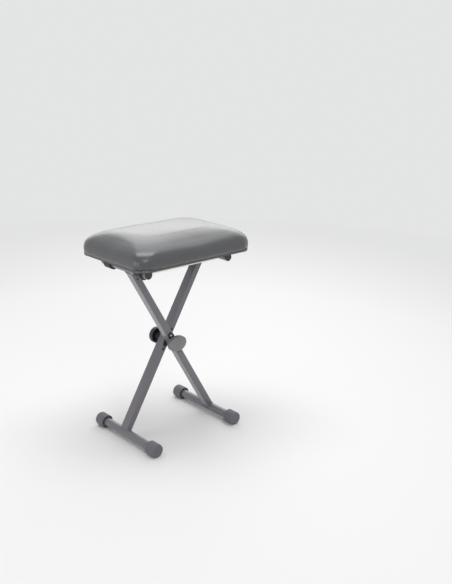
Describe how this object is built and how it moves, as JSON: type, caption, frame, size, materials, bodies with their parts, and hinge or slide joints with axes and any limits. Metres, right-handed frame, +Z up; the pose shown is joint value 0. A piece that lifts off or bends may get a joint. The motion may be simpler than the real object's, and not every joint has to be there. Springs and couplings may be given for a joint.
{
  "type": "folding keyboard bench",
  "caption": "Folding bench for a keyboard player: padded seat on crossing tube legs with a clamp knob.",
  "frame": {"origin": "on the floor, under the middle of the seat, between the four caps", "axes": "+X along the seat, from the rear leg's foot to the front leg's foot, +Y along the feet, away from the clamp knob, +Z up"},
  "size_m": [0.353, 0.253, 0.529],
  "materials": {
    "frame_paint": "satin dark grey-mauve powder coat",
    "cap_rubber": "matt dark grey",
    "plug_plastic": "matt black",
    "insert_nylon": "plain black nylon, inside the tubes",
    "plated_steel": "bright zinc plate",
    "black_steel": "blackened steel",
    "clutch_fibre": "dull black friction fibre",
    "bush_brass": "plain turned",
    "plate_plastic": "matt black",
    "knob_plastic": "satin dark grey",
    "rear_knob_plastic": "satin black",
    "board_wood": "raw plywood",
    "seat_vinyl": "glossy black vinyl over foam"
  },
  "bodies": {
    "rear_leg_frame": {"foot_tube_b": "frame_paint", "foot_cap_b_front": "cap_rubber", "foot_cap_b_rear": "cap_rubber", "leg_tube_b": "frame_paint", "leg_insert_b": "insert_nylon", "insert_screws": "black_steel", "crossbar_b": "frame_paint", "crossbar_plugs_b": "plug_plastic", "clutch_pad_b": "clutch_fibre", "pivot_bolt": "plated_steel", "rear_knob": "rear_knob_plastic"},
    "front_leg_frame": {"foot_tube_a": "frame_paint", "foot_cap_a_front": "cap_rubber", "foot_cap_a_rear": "cap_rubber", "leg_tube_a": "frame_paint", "leg_insert_a": "insert_nylon", "crossbar_a": "frame_paint", "crossbar_plugs_a": "plug_plastic", "clutch_pad_a": "clutch_fibre", "pivot_bush": "bush_brass", "pivot_plate": "plate_plastic", "knob_washer": "plated_steel"},
    "clamp_knob": {"clamp_knob_grip": "knob_plastic", "clamp_knob_face": "knob_plastic", "clamp_knob_nut": "plated_steel"},
    "seat": {"seat_board": "board_wood", "seat_cushion": "seat_vinyl", "saddle_blocks": "plug_plastic", "saddle_straps": "black_steel", "saddle_bolts": "plated_steel", "saddle_washers": "plated_steel", "board_tnuts": "plated_steel", "slide_rails": "plated_steel", "rail_screws": "plated_steel", "runner_strips": "plug_plastic"}
  },
  "joints": [
    {"name": "fold", "type": "hinge", "parent": "rear_leg_frame", "child": "front_leg_frame", "pos_m": [0, 0, 0.23742], "axis": [0, 1, 0], "range_deg": [0, 46.9]},
    {"name": "seat_pivot", "type": "hinge", "parent": "front_leg_frame", "child": "seat", "pos_m": [-0.1245, 0, 0.449], "axis": [0, 1, 0], "range_deg": [-23.45, 0]},
    {"name": "knob_turn", "type": "hinge", "parent": "rear_leg_frame", "child": "clamp_knob", "pos_m": [0, -0.0301, 0.23742], "axis": [0, -1, 0], "range_deg": [0, 360]}
  ],
  "couplings": [
    {"joint": "seat_pivot", "follows": "fold", "ratio": -0.5}
  ]
}
